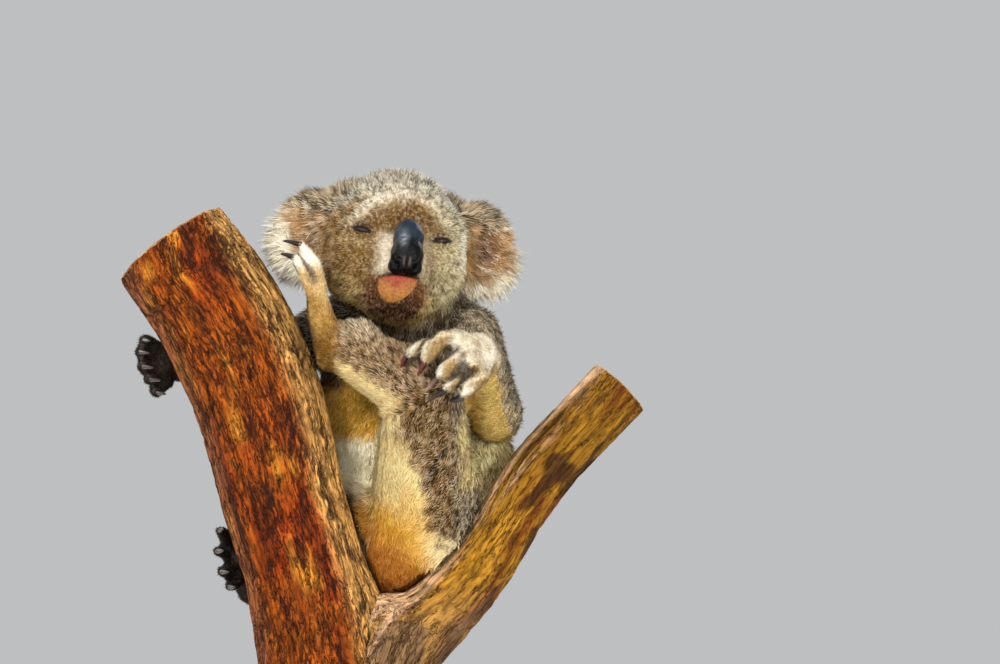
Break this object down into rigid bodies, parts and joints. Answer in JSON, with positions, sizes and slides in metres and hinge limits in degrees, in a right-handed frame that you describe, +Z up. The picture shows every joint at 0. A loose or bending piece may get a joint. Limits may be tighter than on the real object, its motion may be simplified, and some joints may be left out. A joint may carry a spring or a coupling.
{
  "type": "koala model in a tree fork",
  "caption": "Life-size koala sitting in a tree fork and scratching its ear with a raised hind foot, on a plain display stand.",
  "frame": {"origin": "middle of the underside of the stand's base", "axes": "+Z up, +X towards the koala's left, -Y the way its face looks"},
  "size_m": [0.4694, 0.29, 0.5643],
  "materials": {
    "fur": "short dense woolly fur, grizzled grey-brown with cream inner sides",
    "nose_skin": "bare black leathery skin, faintly shiny",
    "eye": "wet dark eye",
    "claw": "dark horn, worn smooth",
    "bark": "rough reddish fissured bark, sawn ends",
    "stand_board": "satin dark stained board",
    "stand_steel": "brushed rod"
  },
  "bodies": {
    "root": {"head": "fur", "ear_left": "fur", "ear_right": "fur", "nose": "nose_skin", "eye_left": "eye", "eye_right": "eye", "neck": "fur", "torso": "fur", "upper_arm_left": "fur", "forearm_left": "fur", "hand_left": "fur", "upper_arm_right": "fur", "forearm_right": "fur", "hand_right": "fur", "thigh_left": "fur", "shin_left": "fur", "foot_left": "fur", "thigh_right": "fur", "shin_right": "fur", "foot_right": "fur", "claw_hand_left_1": "claw", "claw_hand_left_2": "claw", "claw_hand_left_3": "claw", "claw_hand_left_4": "claw", "claw_hand_left_5": "claw", "claw_hand_right_1": "claw", "claw_hand_right_2": "claw", "claw_hand_right_3": "claw", "claw_hand_right_4": "claw", "claw_hand_right_5": "claw", "claw_foot_left_1": "claw", "claw_foot_left_2": "claw", "claw_foot_left_3": "claw", "claw_foot_left_4": "claw", "claw_foot_right_1": "claw", "claw_foot_right_2": "claw", "claw_foot_right_3": "claw", "claw_foot_right_4": "claw", "perch_stem": "bark", "perch_branch": "bark", "stand_base": "stand_board", "stand_rod_1": "stand_steel", "stand_rod_2": "stand_steel"}
  },
  "joints": []
}
